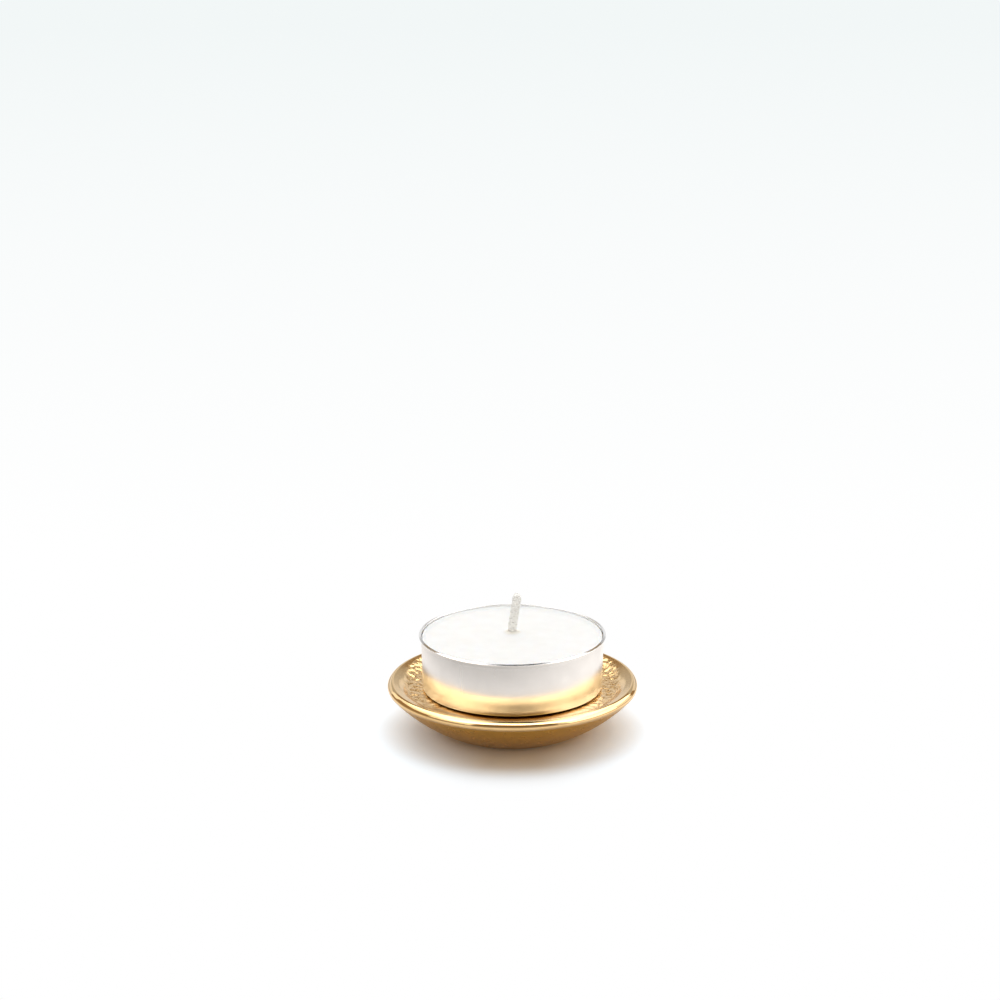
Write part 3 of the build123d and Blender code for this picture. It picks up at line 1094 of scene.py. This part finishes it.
def overhead_card():
    """The overhead card: bright in front, behind and at the sides, and dim between."""
    material, tree, shader = card_material("overhead", WHITE)
    place = add(tree, "ShaderNodeSeparateXYZ", {0: object_place(tree)})
    aside = maths(tree, "ABSOLUTE", maths(tree, "SUBTRACT", place.outputs["X"], MIDDLE_X))
    ahead = times(tree, place.outputs["Y"], -1.0)
    tone = blend_values(tree, spread(tree, aside, 0, 1, *SIDES_FROM), OVERHEAD_MIDDLE, OVERHEAD_SIDES)
    tone = blend_values(tree, spread(tree, place.outputs["Y"], 0, 1, *REAR_FROM), tone, OVERHEAD_SIDES)
    tone = blend_values(tree, spread(tree, ahead, 0, 1, *FRONT_FROM), tone, OVERHEAD_FRONT)
    tone = times(tree, tone, spread(tree, aside, 1, OVERHEAD_FADED, *FADE_FROM))
    tree.links.new(tone, shader.inputs["Emission Strength"])
    (left, right), (front, back) = OVERHEAD_ENDS
    corners = [(left, front), (right, front), (right, back), (left, back)]
    return sheet("overhead", [(x, y, OVERHEAD_HEIGHT) for x, y in corners], material)


def make_cards():
    """The cards round the object, which show only in the metal."""
    cards = [even_card(name, *card) for name, card in CARDS.items()]
    cards.append(overhead_card())
    for card in cards:
        card.visible_camera = False
        card.visible_diffuse = False
        card.visible_shadow = False


def make_softbox():
    """The lamp over the object, which the metal doesn't show."""
    lamp = bpy.data.lights.new("softbox", "AREA")
    lamp.shape = "RECTANGLE"
    lamp.size, lamp.size_y = SOFTBOX_SIZE
    lamp.energy = SOFTBOX_POWER
    softbox = bpy.data.objects.new("softbox", lamp)
    aim = Vector((0, 0, PLATE_HEIGHT))
    softbox.location = aim + Matrix.Rotation(SOFTBOX_TILT, 4, "X") @ Vector((0, 0, SOFTBOX_DISTANCE))
    softbox.rotation_euler = (SOFTBOX_TILT, 0, 0)
    softbox.visible_glossy = False
    bpy.context.scene.collection.objects.link(softbox)


def seen_directly(tree):
    """1 for what the camera sees, straight or in metal or glass, and 0 for light that falls on the object."""
    path = add(tree, "ShaderNodeLightPath")
    first = maths(tree, "MAXIMUM", path.outputs["Is Camera Ray"], path.outputs["Is Glossy Ray"])
    return maths(tree, "MAXIMUM", first, path.outputs["Is Transmission Ray"])


def make_world():
    """White where it is seen, and a low even fill for the light on the object."""
    world = bpy.data.worlds.new("studio")
    bpy.context.scene.world = world
    world.use_nodes = True
    tree = world.node_tree
    tree.nodes.clear()
    fill = add(tree, "ShaderNodeBackground", {"Color": WHITE, "Strength": FILL})
    white = add(tree, "ShaderNodeBackground", {"Color": WHITE, "Strength": 1.0})
    parts = {0: seen_directly(tree), 1: fill.outputs[0], 2: white.outputs[0]}
    mixed = add(tree, "ShaderNodeMixShader", parts)
    output = tree.nodes.new("ShaderNodeOutputWorld")
    tree.links.new(mixed.outputs[0], output.inputs["Surface"])


def make_studio():
    """Floor, cards, softbox and world."""
    reach = FLOOR_REACH
    corners = [(-reach, -reach, 0), (reach, -reach, 0), (reach, reach, 0), (-reach, reach, 0)]
    sheet("floor", corners, floor_material())
    make_cards()
    make_softbox()
    make_world()


# Camera: pixel of the middle of the plate's lip in a square frame, and the view's distance, angles and lens
FRAME_PIXELS = 1000
LIP_PIXEL = (512.4, 685.45)
LIP_HEIGHT = PLATE_HEIGHT - 1.3 * MM
VIEW_DISTANCE = 0.85
VIEW_ELEVATION = math.radians(20.0)
VIEW_ROLL = math.radians(-0.2)
FOCAL_PIXELS = 4161
SENSOR = 36.0
CLIP_RANGE = (0.01, 50.0)


def make_camera():
    """The camera at the photograph's angle, turned so that the plate lies where the photograph has it."""
    data = bpy.data.cameras.new("camera")
    data.sensor_width = SENSOR
    data.lens = SENSOR * FOCAL_PIXELS / FRAME_PIXELS
    data.clip_start, data.clip_end = CLIP_RANGE
    camera = bpy.data.objects.new("camera", data)
    middle = FRAME_PIXELS / 2
    across = Matrix.Rotation(VIEW_ROLL, 2) @ Vector((LIP_PIXEL[0] - middle, middle - LIP_PIXEL[1]))
    right = across.x / FOCAL_PIXELS * VIEW_DISTANCE
    below = math.atan2(-across.y, FOCAL_PIXELS)
    eye = Matrix.Translation((
        -right,
        -VIEW_DISTANCE * math.cos(VIEW_ELEVATION),
        LIP_HEIGHT + VIEW_DISTANCE * math.sin(VIEW_ELEVATION),
    ))
    tilt = Matrix.Rotation(math.pi / 2 - VIEW_ELEVATION + below, 4, "X")
    camera.matrix_world = eye @ tilt @ Matrix.Rotation(VIEW_ROLL, 4, "Z")
    bpy.context.scene.collection.objects.link(camera)
    bpy.context.scene.camera = camera


make_plate(brass_material())
make_cup(aluminium_material())
make_wax(wax_material())
make_wick(cotton_material())
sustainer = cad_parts["wick_sustainer"]
sustainer.data.materials.clear()
sustainer.data.materials.append(tinned_steel_material())
make_studio()
make_camera()
bpy.context.scene.view_settings.view_transform = "Standard"
